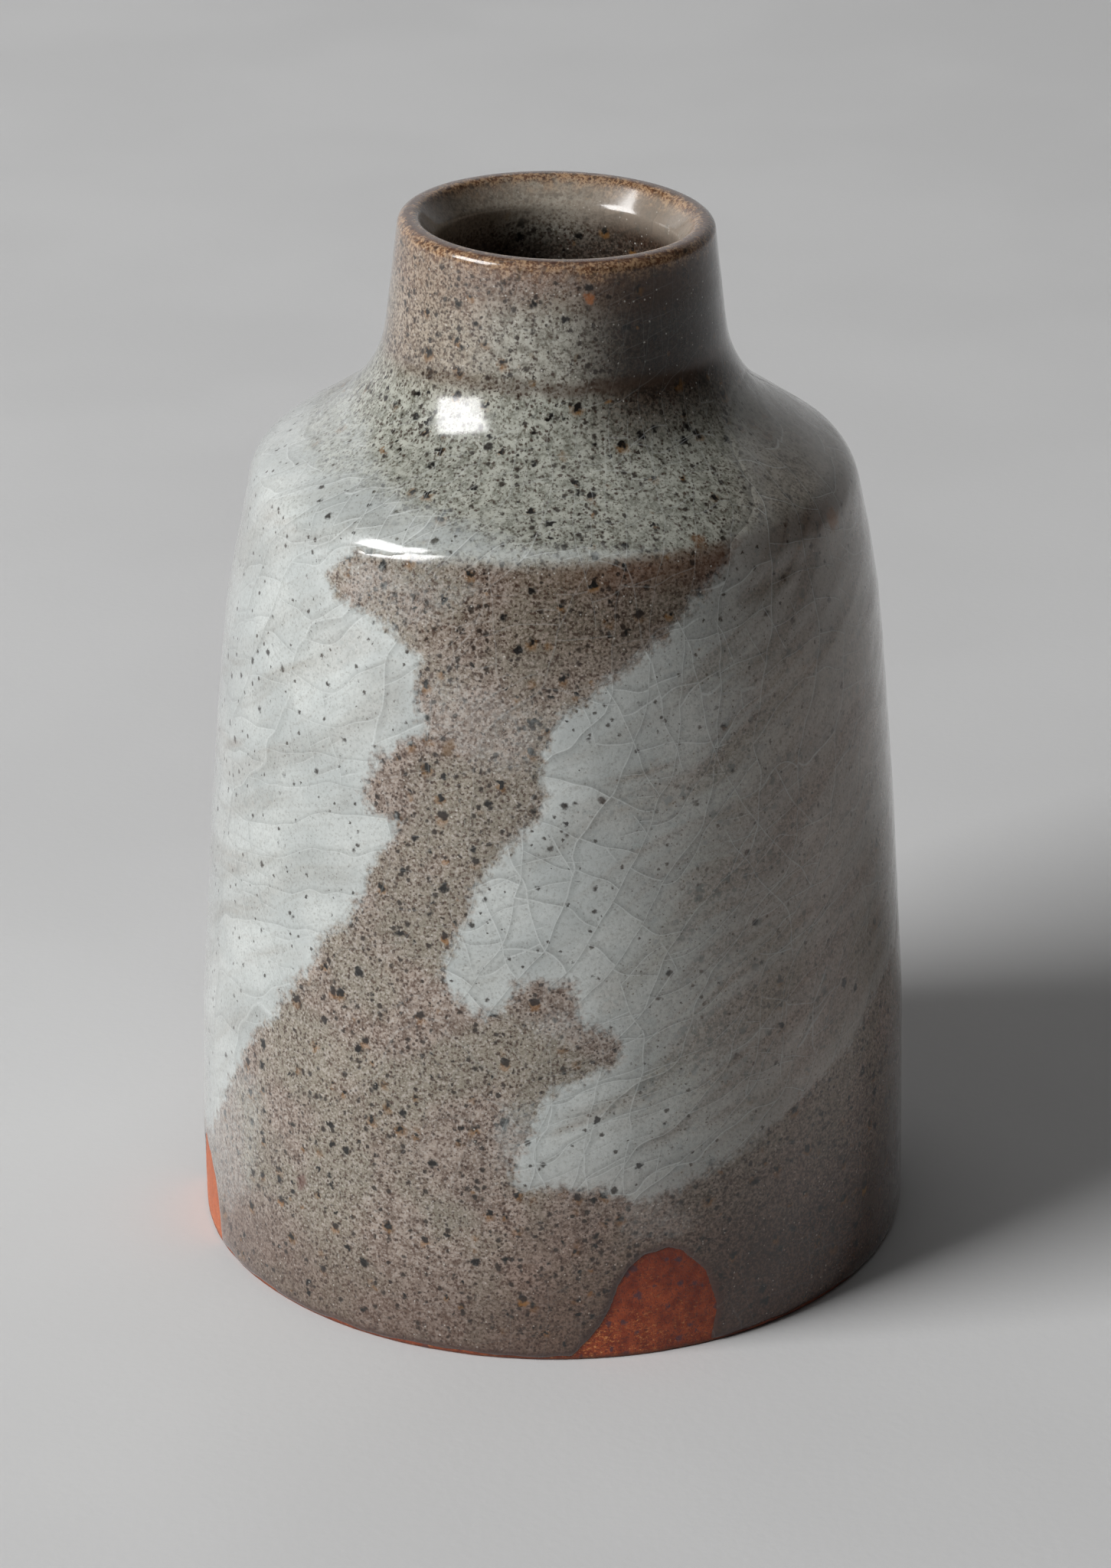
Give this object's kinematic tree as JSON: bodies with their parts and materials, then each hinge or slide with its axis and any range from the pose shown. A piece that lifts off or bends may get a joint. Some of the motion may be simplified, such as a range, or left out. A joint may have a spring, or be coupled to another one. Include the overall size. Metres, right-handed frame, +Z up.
{
  "type": "bud vase",
  "caption": "Small hand-thrown stoneware bud vase: straight belly, sharp shoulder and short narrow neck, brushed slip under a speckled crackle glaze.",
  "frame": {"origin": "centre of the foot, on the surface that the vase stands on", "axes": "+Z up along the vase's axis, out of its mouth; -Y is the side with the large bare fingertip mark and the gap between the two slip sweeps"},
  "size_m": [0.072, 0.072, 0.1047],
  "materials": {
    "stoneware_clay": "unglazed, matt, with fine bright grog",
    "speckled_glaze": "clear satin-gloss crackle glaze over iron-speckled clay",
    "liner_glaze": "clear glaze over speckled clay",
    "white_slip": "brushed white slip under clear glaze"
  },
  "bodies": {
    "root": {"clay_body": "stoneware_clay", "outer_glaze": "speckled_glaze", "inner_glaze": "liner_glaze", "left_slip_sweep": "white_slip", "right_slip_sweep": "white_slip"}
  },
  "joints": []
}
